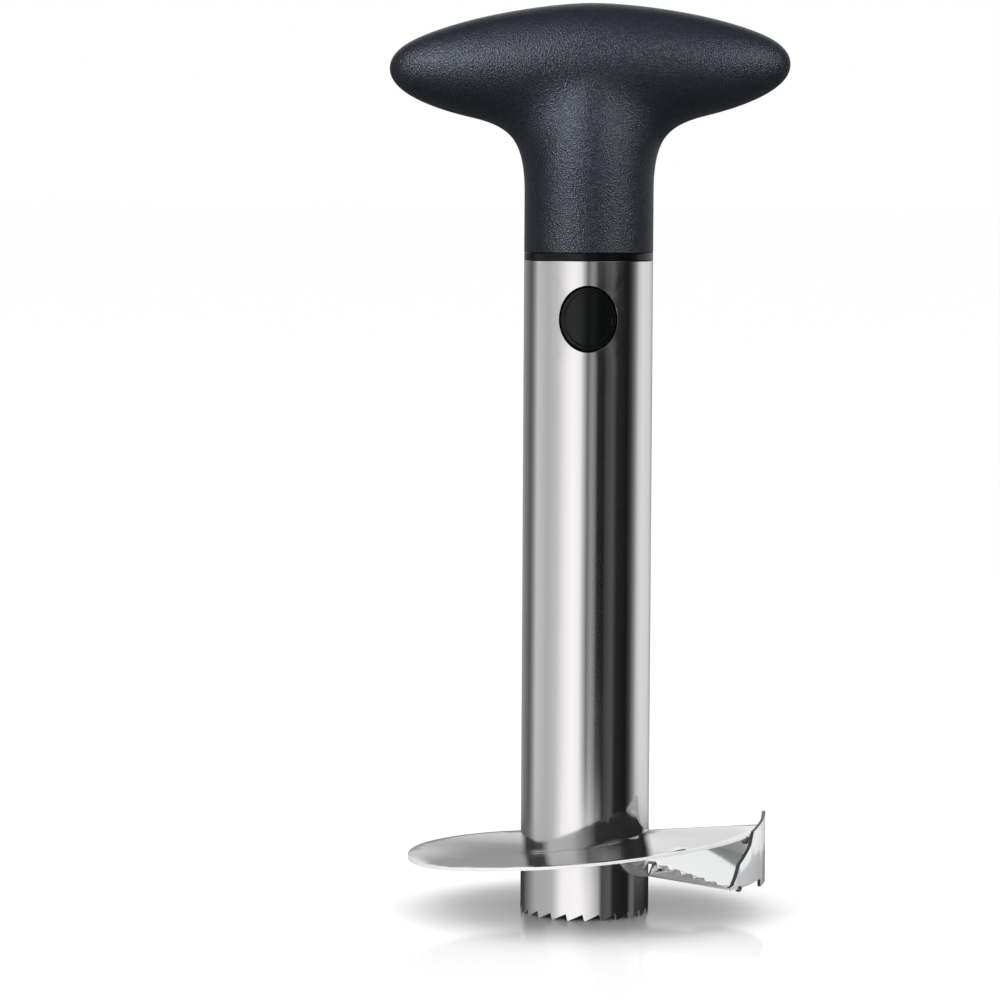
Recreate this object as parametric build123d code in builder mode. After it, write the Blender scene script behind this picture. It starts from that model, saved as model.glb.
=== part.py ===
from build123d import *
from math import cos, pi, radians, sin
import os

# Pineapple slicer, in millimetres.
# The origin is on the tube's axis, level with the tips of the tube's teeth; +Z runs up to the handle.
# The handle's bar lies along X and the latch button faces -Y.

# Cutting tube
tube_radius = 17.0
tube_wall = 0.6
tube_length = 172.6
tooth_count = 24
tooth_depth = 1.7
tooth_flat = 0.35
tooth_lean = 0.45

# Screw-shaped slicing blade
blade_radius = 47.0
blade_thickness = 0.8
blade_low = 10.9
blade_rise = 13.3
blade_start_angle = -40.0
blade_end_angle = 354.0
blade_steps = 48
rim_level_shares = [0, 0.07, 0.165, 0.265, 0.30, 0.335, 0.60, 0.875, 1.0]
root_level_shares = [0.04, 0.11, 0.19, 0.25, 0.32, 0.42, 0.575, 0.78, 0.835]
slot_angle = 303.0
slot_length = 3.0
slot_width = 1.6
slot_inset = 2.0

# Serrated leading edge of the blade
edge_root_angle = 17.0
edge_corner_angle = -36.8
edge_tooth_count = 7
edge_tooth_depth = 2.2
edge_valley_share = 0.3
lip_angle = 14.0
lip_drop = 2.9
lip_thickness = 0.5
lip_lap = 2.6
cut_angle = 3.0

# Upright knife on the blade's rim
knife_thickness = 0.8
knife_height = 18.5
knife_foot = 8.8
knife_start_angle = -38.4
knife_end_angle = 50.0
knife_outline_shares = [
    (0.0, 0.131),
    (0.024, 0.154),
    (0.043, 0.254),
    (0.067, 0.432),
    (0.092, 0.488),
    (0.154, 0.655),
    (0.18, 0.838),
    (0.235, 0.883),
    (0.345, 0.956),
    (0.413, 1.0),
    (0.468, 0.967),
    (0.514, 0.71),
    (0.559, 0.588),
    (0.736, 0.454),
    (0.887, 0.332),
    (1.0, 0.237),
    (1.0, 0.131),
    (0.9, 0.045),
    (0.7, 0.0),
    (0.27, 0.0),
    (0.262, 0.112),
]

# Weld beads
weld_radius = 0.9
root_weld_angles = [40.0, 130.0, 220.0, 310.0]
knife_weld_angles = [-31.0, 8.0, 24.0]
knot_radius = 1.1
knot_angles = [-26.0, -23.6, -21.4]

# Plug that joins the handle to the tube
collar_height = 2.2
collar_round = 0.3
plug_clearance = 0.1
skirt_length = 46.0
skirt_wall = 2.2
skirt_lead = 0.8
plug_floor = 3.0
spigot_height = 16.0
spigot_wall = 2.5
groove_depth = 1.2
groove_width = 3.0
groove_height = 6.5

# Latch: a tongue with an oval button
button_width = 14.5
button_height = 16.6
button_drop = 15.0
button_proud = 0.9
button_gap = 0.4
button_round = 0.5
pad_border = 1.0
tongue_width = 11.0
tongue_thickness = 1.6
tongue_gap = 0.5
latch_pivot_rise = 4.5
latch_pivot_radius = 13.6
barrel_radius = 1.2
barrel_gap = 0.06
socket_margin = 1.6
latch_swing_angle = 5.2

# Handle: two hollow shells
bar_length = 105.4
bar_height = 33.4
bar_depth = 29.0
bar_level = 48.9
neck_straight = 19.9
neck_dome = 43.0
neck_fillet = 10.0
shell_wall = 2.5
rib_gap = 0.1
post_radius = 4.2
post_spread = 28.0
neck_post_height = 30.4
bar_seat = 7.0
neck_seat = 10.0

# Screws that hold the shells together
screw_radius = 1.3
screw_length = 16.0
screw_gap = 0.05
screw_way = 0.3
head_radius = 2.6
head_height = 1.9
head_gap = 0.3
recess_width = 0.7
recess_depth = 1.0

# Extra length of a cutting tool past what it cuts
overrun = 1.0

quarter_angle = 90
half_turn_angle = 180

tube_bore = tube_radius - tube_wall
skirt_radius = tube_bore - plug_clearance
joint_level = tube_length + collar_height
button_level = tube_length - button_drop
skirt_foot = tube_length - skirt_length
pivot_level = skirt_foot + latch_pivot_rise


def turned(radius, angle, height=0):
    """Point at a radius, an angle in degrees and a height."""
    return Vector(radius * cos(radians(angle)), radius * sin(radians(angle)), height)


def eased(values, share):
    """Smooth curve through evenly spaced values, read at a share of its length."""
    last = len(values) - 1
    spot = share * last
    k = min(int(spot), last - 1)
    t = spot - k
    before = values[max(k - 1, 0)]
    after = values[min(k + 2, last)]
    slope_in = (values[k + 1] - before) / 2
    slope_out = (after - values[k]) / 2
    rise = values[k + 1] - values[k]
    bend = 3 * rise - 2 * slope_in - slope_out
    twist = slope_in + slope_out - 2 * rise
    return values[k] + slope_in * t + bend * t**2 + twist * t**3


def blade_level(shares, angle):
    """Height of the blade's upper face at an angle, from the rim's or the root's level shares."""
    share = (angle - blade_start_angle) / (blade_end_angle - blade_start_angle)
    return blade_low + blade_rise * eased(shares, min(max(share, 0), 1))


# Tube: a plain stainless tube with saw teeth round its lower rim and an oval hole for the button
tooth_pitch = 2 * pi * tube_radius / tooth_count
with BuildPart() as tooth_gap:
    with BuildSketch(Plane(origin=(tube_radius, 0, 0), x_dir=(0, 1, 0), z_dir=(1, 0, 0))):
        with BuildLine():
            Polyline(
                (tooth_flat, 0),
                (tooth_pitch - tooth_lean, tooth_depth),
                (tooth_pitch, 0),
                (tooth_pitch, -overrun),
                (tooth_flat, -overrun),
                close=True,
            )
        make_face()
    extrude(amount=tube_wall + overrun, both=True)

with BuildPart() as tube:
    with BuildSketch():
        Circle(tube_radius)
        Circle(tube_bore, mode=Mode.SUBTRACT)
    extrude(amount=tube_length)
    with PolarLocations(0, tooth_count):
        add(tooth_gap.part, mode=Mode.SUBTRACT)
    with BuildSketch(Plane.XZ.offset(tube_bore / 2)):
        with Locations((0, button_level)):
            Ellipse(button_width / 2 + button_gap, button_height / 2 + button_gap)
    extrude(amount=tube_radius, mode=Mode.SUBTRACT)
tube.part.label = "tube"

# Blade: one turn and a little more of a thin screw face, welded to the tube at its root
blade_root = tube_radius + plug_clearance / 2
with BuildPart() as blade:
    for k in range(blade_steps + 1):
        angle = blade_start_angle + (blade_end_angle - blade_start_angle) * k / blade_steps
        facing = turned(1, angle - quarter_angle)
        root = blade_level(root_level_shares, angle)
        rim = blade_level(rim_level_shares, angle)
        with BuildSketch(Plane(origin=(0, 0, 0), x_dir=turned(1, angle), z_dir=facing)):
            with BuildLine():
                Polyline(
                    (blade_root, root),
                    (blade_radius, rim),
                    (blade_radius, rim - blade_thickness),
                    (blade_root, root - blade_thickness),
                    close=True,
                )
            make_face()
    loft()

    # Short slot beside the rim
    slot_level = blade_level(rim_level_shares, slot_angle)
    with Locations(Location(turned(blade_radius - slot_inset, slot_angle, slot_level), (0, 0, slot_angle))):
        Box(slot_width, slot_length, 4 * blade_thickness, mode=Mode.SUBTRACT)

    # Stepped teeth along the leading edge, whose outer corner runs ahead of its root
    edge_root = turned(blade_root, edge_root_angle)
    edge_corner = turned(blade_radius, edge_corner_angle)
    edge_line = edge_corner - edge_root
    edge_pitch = edge_line.length / edge_tooth_count
    edge_along = edge_line.normalized()
    edge_ahead = edge_along.cross(Vector(0, 0, 1))
    edge_outline = [turned(blade_root - overrun, edge_root_angle)]
    edge_valley = edge_along * edge_pitch * edge_valley_share - edge_ahead * edge_tooth_depth
    for k in range(edge_tooth_count):
        tip = edge_root + edge_along * edge_pitch * k
        edge_outline += [tip, tip + edge_valley]
    edge_outline += [
        edge_corner,
        turned(blade_radius + overrun, edge_corner_angle),
        turned(blade_radius + overrun, blade_start_angle - cut_angle),
        turned(blade_root - overrun, blade_start_angle - cut_angle),
    ]
    with BuildSketch(Plane.XY.offset(blade_low - lip_drop)):
        with BuildLine():
            Polyline(*[(v.X, v.Y) for v in edge_outline], close=True)
        make_face()
    extrude(amount=blade_rise / 2 + lip_drop, mode=Mode.SUBTRACT)

    # Lip below the teeth, bent down most at the root and running out at the corner
    root_top = blade_level(root_level_shares, edge_root_angle) - blade_thickness / 2
    corner_top = blade_level(rim_level_shares, edge_corner_angle) - blade_thickness / 2
    lip_back = edge_root - edge_ahead * lip_lap + Vector(0, 0, root_top)
    lip_front = turned(blade_root, edge_root_angle - lip_angle, root_top - lip_drop)
    lip_corner = edge_corner - edge_along * blade_thickness + Vector(0, 0, corner_top)
    lip_fold = lip_corner - lip_back
    lip_plane = Plane(origin=lip_back, x_dir=lip_fold, z_dir=lip_fold.cross(lip_back - lip_front))
    with BuildSketch(lip_plane):
        with BuildLine():
            Polyline(
                *[lip_plane.to_local_coords(v) for v in (lip_back, lip_corner, lip_front)],
                close=True,
            )
        make_face()
    extrude(amount=lip_thickness / 2, both=True)
    with BuildSketch():
        Circle(blade_root)
    extrude(amount=tube_length, mode=Mode.SUBTRACT)
blade.part.label = "blade"

# Knife: a curved upright strip that stands on the blade's rim and trims the ring to size
knife_bore = blade_radius + plug_clearance / 2
knife_radius = knife_bore + knife_thickness
knife_middle_angle = (knife_start_angle + knife_end_angle) / 2
knife_plane = Plane(
    origin=turned(0, 0, knife_foot),
    x_dir=turned(1, knife_middle_angle + quarter_angle),
    z_dir=turned(1, knife_middle_angle),
)
knife_outline = []
for along_share, height_share in knife_outline_shares:
    lean = knife_start_angle + (knife_end_angle - knife_start_angle) * along_share - knife_middle_angle
    knife_outline.append((knife_radius * sin(radians(lean)), knife_height * height_share))
with BuildPart() as outer_knife:
    with BuildSketch(Plane.XY.offset(knife_foot - overrun)):
        Circle(knife_radius)
        Circle(knife_bore, mode=Mode.SUBTRACT)
    extrude(amount=knife_height + 2 * overrun)
    with BuildSketch(knife_plane):
        with BuildLine():
            Polyline(*knife_outline, close=True)
        make_face()
    extrude(amount=knife_radius + overrun, mode=Mode.INTERSECT)
outer_knife.part.label = "outer_knife"

# Weld beads: under the blade at its root, and inside the knife where it meets the blade's rim
with BuildPart() as blade_welds:
    for angle in root_weld_angles:
        level = blade_level(root_level_shares, angle) - blade_thickness - weld_radius / 2
        with Locations(turned(blade_root + weld_radius / 2, angle, level)):
            Sphere(weld_radius)
blade_welds.part.label = "blade_welds"

with BuildPart() as knife_welds:
    for angle in knife_weld_angles:
        level = blade_level(rim_level_shares, angle) - blade_thickness
        with Locations(turned(blade_radius - weld_radius / 3, angle, level)):
            Sphere(weld_radius)
    for angle in knot_angles:
        level = blade_level(rim_level_shares, angle + 2 * half_turn_angle)
        level -= blade_thickness + knot_radius / 2
        with Locations(turned(blade_radius - knot_radius / 2, angle, level)):
            Sphere(knot_radius)
knife_welds.part.label = "knife_welds"

# Plug: collar, skirt that slides in the tube, and grooved spigot that the handle shells grip
skirt_bore = skirt_radius - skirt_wall
neck_bore = tube_radius - shell_wall
spigot_radius = neck_bore - rib_gap
spigot_bore = spigot_radius - spigot_wall
spigot_top = joint_level + spigot_height
groove_level = joint_level + groove_height
socket_top = pivot_level + barrel_radius + socket_margin
with BuildPart() as tube_plug:
    with BuildSketch(Plane.XZ):
        with BuildLine():
            Polyline(
                (0, joint_level - plug_floor),
                (skirt_bore, joint_level - plug_floor),
                (skirt_bore, skirt_foot),
                (skirt_radius - skirt_lead, skirt_foot),
                (skirt_radius, skirt_foot + skirt_lead),
                (skirt_radius, tube_length),
                (tube_radius, tube_length),
                (tube_radius, joint_level),
                (spigot_radius, joint_level),
                (spigot_radius, groove_level - groove_width / 2),
                (spigot_radius - groove_depth, groove_level - groove_width / 2),
                (spigot_radius - groove_depth, groove_level + groove_width / 2),
                (spigot_radius, groove_level + groove_width / 2),
                (spigot_radius, spigot_top),
                (spigot_bore, spigot_top),
                (spigot_bore, joint_level),
                (0, joint_level),
                close=True,
            )
        make_face()
    revolve(axis=Axis.Z)
    # Block that holds the latch's barrel, kept inside the skirt's outer face
    socket_depth = 2 * (barrel_radius + socket_margin)
    with BuildSketch(Plane.XY.offset(skirt_foot)):
        with Locations((0, -latch_pivot_radius)):
            Rectangle(tongue_width + 2 * socket_margin + 2 * tongue_gap, socket_depth)
        Circle(skirt_radius - skirt_lead, mode=Mode.INTERSECT)
    extrude(amount=socket_top - skirt_foot)
    # Window for the tongue and the button's head
    with BuildSketch(Plane.XZ.offset(latch_pivot_radius - socket_depth / 2 - overrun)):
        with Locations((0, (socket_top + button_level) / 2)):
            Rectangle(tongue_width + 2 * tongue_gap, button_level - socket_top)
        with Locations((0, button_level)):
            Ellipse(button_width / 2 + 2 * button_gap, button_height / 2 + 2 * button_gap)
    extrude(amount=tube_radius, mode=Mode.SUBTRACT)
    # Round seat for the barrel, open upwards for the tongue to swing
    seat_width = tongue_width + 2 * barrel_gap
    with Locations((0, -latch_pivot_radius, pivot_level)):
        Cylinder(
            barrel_radius + barrel_gap, seat_width, rotation=(0, quarter_angle, 0), mode=Mode.SUBTRACT
        )
    swing_room = (socket_top - pivot_level) * sin(radians(latch_swing_angle)) + tongue_gap / 2
    with BuildSketch(Plane.XY.offset(pivot_level)):
        with Locations((0, -latch_pivot_radius + swing_room / 2)):
            Rectangle(seat_width, tongue_thickness + tongue_gap / 2 + swing_room)
    extrude(amount=socket_top - pivot_level + overrun, mode=Mode.SUBTRACT)
    fillet(
        tube_plug.edges().filter_by(GeomType.CIRCLE).filter_by(
            lambda e: abs(e.radius - tube_radius) < plug_clearance / 2
        ),
        radius=collar_round,
    )
tube_plug.part.label = "tube_plug"

# Latch: barrel, springy tongue and oval button in one moulding
tongue_back = latch_pivot_radius - tongue_thickness / 2


def button_block(border, reach):
    """Oval block with a border taken off, whose rounded face follows the tube at a reach."""
    with BuildPart() as block:
        with BuildSketch(Plane.XZ.offset(tongue_back)):
            with Locations((0, button_level)):
                Ellipse(button_width / 2 - border, button_height / 2 - border)
        extrude(amount=reach - tongue_back)
        with BuildSketch(Plane.XY.offset(pivot_level)):
            Circle(reach)
        extrude(amount=tube_length - pivot_level, mode=Mode.INTERSECT)
        fillet(block.faces().sort_by(Axis.Y)[0].edges(), radius=button_round)
    return block.part


button_rim = button_block(0, tube_radius)
button_pad = button_block(pad_border, tube_radius + button_proud)
with BuildPart() as latch:
    add(button_rim)
    add(button_pad)
    with BuildSketch(Plane.XZ.offset(tongue_back)):
        with Locations((0, (pivot_level + button_level) / 2)):
            Rectangle(tongue_width, button_level - pivot_level)
    extrude(amount=tongue_thickness)
    with Locations((0, -latch_pivot_radius, pivot_level)):
        Cylinder(barrel_radius, tongue_width, rotation=(0, quarter_angle, 0))
latch.part.label = "latch"

# Handle: outer form, its hollow, and what stands inside it
bar_half = (bar_length / 2, bar_depth / 2, bar_height / 2)
bar_centre = joint_level + bar_level
ball = Sphere(1)


def half_form(inset):
    """Rear half of the handle's neck, dome and bar, drawn in by an inset."""
    with BuildPart() as form:
        with BuildSketch(Plane.XY.offset(joint_level)):
            Circle(tube_radius - inset)
        extrude(amount=neck_straight)
        with BuildSketch(Plane.XZ):
            with Locations((0, joint_level + neck_straight)):
                Ellipse(tube_radius - inset, neck_dome - inset)
            with Locations((tube_radius, joint_level + neck_straight + neck_dome / 2)):
                Rectangle(2 * tube_radius, neck_dome, mode=Mode.INTERSECT)
        revolve(axis=Axis.Z)
        with Locations((0, 0, bar_centre)):
            add(scale(ball, by=tuple(half - inset for half in bar_half), mode=Mode.PRIVATE))
        split(bisect_by=Plane.XZ, keep=Keep.BOTTOM)
        crossings = form.edges().filter_by(GeomType.BSPLINE).filter_by_position(
            Axis.Y, shell_wall, bar_depth
        )
        fillet(crossings.sort_by(Axis.Z)[0], radius=neck_fillet + inset)
    return form.part


half_outer = half_form(0)
half_hollow = half_form(shell_wall)

screw_places = [
    (-post_spread, bar_centre, bar_seat),
    (post_spread, bar_centre, bar_seat),
    (0, joint_level + neck_post_height, neck_seat),
]

# Posts for the screws, and half of the ring rib that sits in the plug's groove
with BuildPart() as half_inside:
    with BuildSketch(Plane.XZ):
        with Locations([(x, z) for x, z, seat in screw_places]):
            Circle(post_radius)
    extrude(amount=-bar_depth / 2)
    with BuildSketch(Plane.XZ):
        with Locations((neck_bore, groove_level)):
            Rectangle(2 * (groove_depth - rib_gap), groove_width - 2 * rib_gap)
    revolve(axis=Axis.Z)
    split(bisect_by=Plane.XZ, keep=Keep.BOTTOM)
    add(half_outer, mode=Mode.INTERSECT)

with BuildPart() as grip_half:
    add(half_outer)
    add(half_hollow, mode=Mode.SUBTRACT)
    add(half_inside.part)

with BuildPart() as grip_front_shell:
    add(grip_half.part, rotation=(0, 0, half_turn_angle))
    for x, z, seat in screw_places:
        with BuildSketch(Plane.XZ):
            with Locations((x, z)):
                Circle(screw_radius + screw_gap)
        extrude(amount=screw_length - seat + screw_gap, mode=Mode.SUBTRACT)
grip_front_shell.part.label = "grip_front_shell"

with BuildPart() as grip_rear_shell:
    add(grip_half.part)
    for x, z, seat in screw_places:
        with BuildSketch(Plane.XZ):
            with Locations((x, z)):
                Circle(screw_radius + screw_way)
        extrude(amount=-seat, mode=Mode.SUBTRACT)
        with BuildSketch(Plane.XZ.offset(-seat)):
            with Locations((x, z)):
                Circle(head_radius + head_gap)
        extrude(amount=-bar_depth, mode=Mode.SUBTRACT)
grip_rear_shell.part.label = "grip_rear_shell"

# Screws: three alike, driven from the rear into the front shell's posts
with BuildPart() as screw:
    with BuildSketch(Plane.XZ):
        Circle(screw_radius)
    extrude(amount=screw_length)
    chamfer(screw.faces().sort_by(Axis.Y)[0].edges(), length=screw_radius / 2)
    with BuildSketch(Plane.XZ):
        Circle(head_radius)
    extrude(amount=-head_height)
    fillet(screw.faces().sort_by(Axis.Y)[-1].edges(), radius=head_height / 3)
    with BuildSketch(Plane.XZ.offset(-head_height)):
        Rectangle(recess_width, head_radius)
        Rectangle(head_radius, recess_width)
    extrude(amount=recess_depth, mode=Mode.SUBTRACT)

with BuildPart() as grip_screws:
    for x, z, seat in screw_places:
        with Locations((x, seat, z)):
            add(screw.part)
grip_screws.part.label = "grip_screws"

pieces = [
    tube,
    blade,
    blade_welds,
    outer_knife,
    knife_welds,
    tube_plug,
    latch,
    grip_front_shell,
    grip_rear_shell,
    grip_screws,
]
os.makedirs("parts", exist_ok=True)
for piece in pieces:
    export_step(piece.part, f"parts/{piece.part.label}.step")
    print(piece.part.label, len(piece.part.solids()), piece.part.is_valid)
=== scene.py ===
from math import asin, atan2, cos, hypot, pi, radians, sin

import bmesh
import bpy
import numpy as np
from bpy.props import FloatProperty, FloatVectorProperty, IntProperty, PointerProperty
from bpy.types import Operator, Panel, PropertyGroup
from mathutils import Matrix, Vector


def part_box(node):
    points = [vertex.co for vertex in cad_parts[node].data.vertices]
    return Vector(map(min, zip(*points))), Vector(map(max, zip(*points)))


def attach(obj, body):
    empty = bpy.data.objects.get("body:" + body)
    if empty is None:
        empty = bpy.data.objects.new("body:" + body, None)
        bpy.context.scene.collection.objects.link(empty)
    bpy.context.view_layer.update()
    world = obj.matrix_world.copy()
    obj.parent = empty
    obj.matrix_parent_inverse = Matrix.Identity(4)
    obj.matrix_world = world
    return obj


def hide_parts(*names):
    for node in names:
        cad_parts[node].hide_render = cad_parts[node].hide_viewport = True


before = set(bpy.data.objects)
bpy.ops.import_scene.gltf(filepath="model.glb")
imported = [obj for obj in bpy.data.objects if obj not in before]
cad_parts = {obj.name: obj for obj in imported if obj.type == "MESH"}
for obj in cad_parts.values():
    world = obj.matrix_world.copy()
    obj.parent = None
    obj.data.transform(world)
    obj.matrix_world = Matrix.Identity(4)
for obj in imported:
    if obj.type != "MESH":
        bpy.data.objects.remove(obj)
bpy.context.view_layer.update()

bl_info = {
    "name": "Pineapple Slicer",
    "version": (1, 0, 0),
    "blender": (4, 5, 0),
    "location": "View3D > Sidebar > Slicer",
    "description": "Builds the handle, tube, blade and studio of a pineapple slicer round its CAD frame",
    "category": "Object",
}

MM = 0.001

tube_low, tube_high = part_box("tube")
blade_low, blade_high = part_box("blade")
_, latch_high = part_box("latch")
rear_low, rear_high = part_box("grip_rear_shell")

tube_radius = tube_high.x
joint_level = rear_low.z
bar_half_length = rear_high.x


class HandleSizes(PropertyGroup):
    """Sizes and colour of the handle."""

    bar_height: FloatProperty(
        name="Bar Height", description="Thickness of the bar, up and down",
        default=33.2 * MM, unit="LENGTH",
    )
    bar_depth: FloatProperty(
        name="Bar Depth", description="Thickness of the bar, front to back",
        default=29.0 * MM, unit="LENGTH",
    )
    bar_drop: FloatProperty(
        name="Bar Drop", description="How far the bar's top lies under the frame's top",
        default=0.2 * MM, unit="LENGTH",
    )
    bar_lean: FloatProperty(
        name="Bar Lean", description="Rise of the bar to the right",
        default=radians(0.9), subtype="ANGLE",
    )
    crown_power: FloatProperty(
        name="Crown Power", description="How fast the bar's top falls to its ends, 2 on an ellipse",
        default=1.52,
    )
    belly_power: FloatProperty(
        name="Belly Power", description="How fast the bar's underside rises to its ends, 2 on an ellipse",
        default=1.85,
    )
    neck_straight: FloatProperty(
        name="Neck Straight", description="Height of the neck's even part",
        default=19.9 * MM, unit="LENGTH",
    )
    neck_dome: FloatProperty(
        name="Neck Dome", description="Height over which the neck closes inside the bar",
        default=43.0 * MM, unit="LENGTH",
    )
    blend_width: FloatProperty(
        name="Blend Width", description="Width of the soft corner between neck and bar",
        default=13.5 * MM, unit="LENGTH",
    )
    wall: FloatProperty(
        name="Wall", description="Thickness of the shells", default=2.5 * MM, unit="LENGTH"
    )
    seam: FloatProperty(
        name="Seam", description="Gap between the two shells", default=0.01 * MM, unit="LENGTH"
    )
    mesh_step: FloatProperty(
        name="Mesh Step", description="Size of the shells' faces", default=1.1 * MM, unit="LENGTH"
    )
    post_radius: FloatProperty(
        name="Post Radius", description="Radius of the screw posts", default=4.2 * MM, unit="LENGTH"
    )
    bore_radius: FloatProperty(
        name="Bore Radius", description="Radius of the bores over the screws",
        default=2.9 * MM, unit="LENGTH",
    )
    post_floor: FloatProperty(
        name="Post Floor", description="Thickness of each post under its screw",
        default=1.6 * MM, unit="LENGTH",
    )
    colour: FloatVectorProperty(
        name="Colour", description="Charcoal of the moulded grip",
        default=(0.0040, 0.0052, 0.0094), subtype="COLOR",
    )


class CutterSizes(PropertyGroup):
    """Sizes and colours of the tube, the blade and the knife."""

    tube_wall: FloatProperty(
        name="Tube Wall", description="Thickness of the tube's sheet", default=0.6 * MM, unit="LENGTH"
    )
    tooth_count: IntProperty(
        name="Tooth Count", description="Saw teeth round the tube's lower rim", default=24
    )
    tooth_depth: FloatProperty(
        name="Tooth Depth", description="Height of the tube's saw teeth",
        default=1.7 * MM, unit="LENGTH",
    )
    tooth_flat: FloatProperty(
        name="Tooth Flat", description="Width of the blunt tip of each tooth",
        default=0.35 * MM, unit="LENGTH",
    )
    tooth_lean: FloatProperty(
        name="Tooth Lean", description="Width of each tooth's steep flank",
        default=0.45 * MM, unit="LENGTH",
    )
    button_half_height: FloatProperty(
        name="Button Half Height", description="Half the height of the oval button",
        default=8.3 * MM, unit="LENGTH",
    )
    button_gap: FloatProperty(
        name="Button Gap", description="Gap between the button and the hole in the tube",
        default=0.4 * MM, unit="LENGTH",
    )
    edge_round: FloatProperty(
        name="Edge Round", description="Rounding of the sheet's edges", default=0.30 * MM, unit="LENGTH"
    )
    tube_colour: FloatVectorProperty(
        name="Tube Colour", description="Polished stainless steel",
        default=(0.80, 0.785, 0.785), subtype="COLOR",
    )
    blade_colour: FloatVectorProperty(
        name="Blade Colour", description="Brushed stainless sheet",
        default=(0.70, 0.71, 0.71), subtype="COLOR",
    )
    weld_colour: FloatVectorProperty(
        name="Weld Colour", description="Dull metal of the weld beads",
        default=(0.46, 0.44, 0.42), subtype="COLOR",
    )
    plastic_colour: FloatVectorProperty(
        name="Plastic Colour", description="Glossy black of the plug and the latch",
        default=(0.0025, 0.003, 0.003), subtype="COLOR",
    )


class StudioSizes(PropertyGroup):
    """Camera, floor and light."""

    distance: FloatProperty(
        name="Distance", description="From the camera to the tube's axis", default=1.067, unit="LENGTH"
    )
    eye_level: FloatProperty(
        name="Eye Level", description="Height of the camera above the floor",
        default=0.187, unit="LENGTH",
    )
    lens: FloatProperty(name="Lens", description="Focal length", default=145.6, subtype="DISTANCE_CAMERA")
    turn: FloatProperty(
        name="Turn", description="Turn of the camera to the left",
        default=radians(1.24), subtype="ANGLE",
    )
    tilt: FloatProperty(
        name="Tilt", description="Tilt of the camera down", default=radians(3.32), subtype="ANGLE"
    )
    roll: FloatProperty(
        name="Roll", description="Lean of the camera", default=radians(0.32), subtype="ANGLE"
    )
    rise: FloatProperty(name="Rise", description="Vertical shift of the picture", default=-0.06)
    key_power: FloatProperty(
        name="Key Power", description="Power of the key softbox", default=5.0, subtype="POWER"
    )
    grip_level: FloatProperty(
        name="Grip Level", description="Strength of the grip's two softboxes", default=1.0
    )
    fill_level: FloatProperty(name="Fill Level", description="Plain light from all sides", default=1.3)
    floor_colour: FloatVectorProperty(
        name="Floor Colour", description="White sweep under the slicer",
        default=(0.95, 0.95, 0.95), subtype="COLOR",
    )


def mesh_from(bm, name):
    """Mesh from a bmesh, which is freed."""
    mesh = bpy.data.meshes.new(name)
    bm.to_mesh(mesh)
    bm.free()
    return mesh


def put_in_scene(name, data):
    """New object with a mesh, light or camera, linked to the scene."""
    thing = bpy.data.objects.new(name, data)
    bpy.context.scene.collection.objects.link(thing)
    return thing


def place(name, mesh, body, slot, materials, *nodes):
    """New piece from a mesh, which rides on a body and stands for CAD nodes."""
    piece = put_in_scene(name, mesh)
    numbers = [face.material_index for face in mesh.polygons]
    mesh.materials.clear()
    for material in materials:
        mesh.materials.append(material)
    for face, number in zip(mesh.polygons, numbers):
        face.material_index = min(number, len(materials) - 1)
    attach(piece, body)
    if nodes:
        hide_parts(*nodes)
    return piece


def dress(node, material):
    """Gives a CAD node its material."""
    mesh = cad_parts[node].data
    mesh.materials.clear()
    mesh.materials.append(material)


def settle(mesh, name, *modifiers):
    """Mesh with modifiers applied, each given as (kind, settings)."""
    piece = put_in_scene(name, mesh)
    for kind, settings in modifiers:
        modifier = piece.modifiers.new(kind.lower(), kind)
        for key, value in settings.items():
            setattr(modifier, key, value)
    depsgraph = bpy.context.evaluated_depsgraph_get()
    result = bpy.data.meshes.new_from_object(piece.evaluated_get(depsgraph))
    result.name = name
    bpy.data.objects.remove(piece)
    return result


def bevel(width, segments, angle):
    """Modifier that rounds the edges past an angle in degrees."""
    limit = {"limit_method": "ANGLE", "angle_limit": radians(angle)}
    return "BEVEL", {"width": width, "segments": segments, **limit}


def thickened(thickness, **settings):
    """Modifier that makes a wall inward from a skin."""
    return "SOLIDIFY", {"thickness": thickness, "offset": -1.0, "use_even_offset": True, **settings}


def voxel_remesh(size):
    """Modifier that makes the mesh anew from voxels."""
    return "REMESH", {"mode": "VOXEL", "voxel_size": size}


# Corners of a CAD mesh closer than this are one
MERGE_DISTANCE = 0.002 * MM


def welded_copy(node):
    """Copy of a CAD node's mesh with its corners joined."""
    bm = bmesh.new()
    bm.from_mesh(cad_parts[node].data)
    bm.transform(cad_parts[node].matrix_world)
    bmesh.ops.remove_doubles(bm, verts=bm.verts[:], dist=MERGE_DISTANCE)
    bmesh.ops.dissolve_degenerate(bm, dist=MERGE_DISTANCE, edges=bm.edges[:])
    return mesh_from(bm, node + "_copy")


# A face of the blade that looks up or down more than this is part of the sheet's flat
FLAT_FACING = 0.93

# A face of the knife that looks in or out less than this is part of its edges
EDGE_FACING = 0.75


def mark_blade_edges(mesh, rim_radius, lip_radius, lip_level):
    """Gives the second material, a painted highlight, to the blade's rim and to the lip of its leading
    edge.
    """
    for face in mesh.polygons:
        away = hypot(face.center.x, face.center.y)
        # The rim and the lip get the painted highlight
        painted_bright = away > rim_radius or (away > lip_radius and face.center.z < lip_level)
        face.material_index = int(painted_bright and abs(face.normal.z) < FLAT_FACING)


def mark_knife_edges(mesh):
    """Gives the second material, a painted shade, to the knife's sheared edges, between its inner and
    outer face.
    """
    for face in mesh.polygons:
        outward = Vector((face.center.x, face.center.y, 0)).normalized()
        face.material_index = int(abs(face.normal.dot(outward)) < EDGE_FACING)


# Edges past these angles stay sharp: on moulded and drawn pieces, on the sheet and on the weld beads
BODY_ANGLE = radians(20)
SHEET_ANGLE = radians(17)
BEAD_ANGLE = radians(60)


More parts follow.
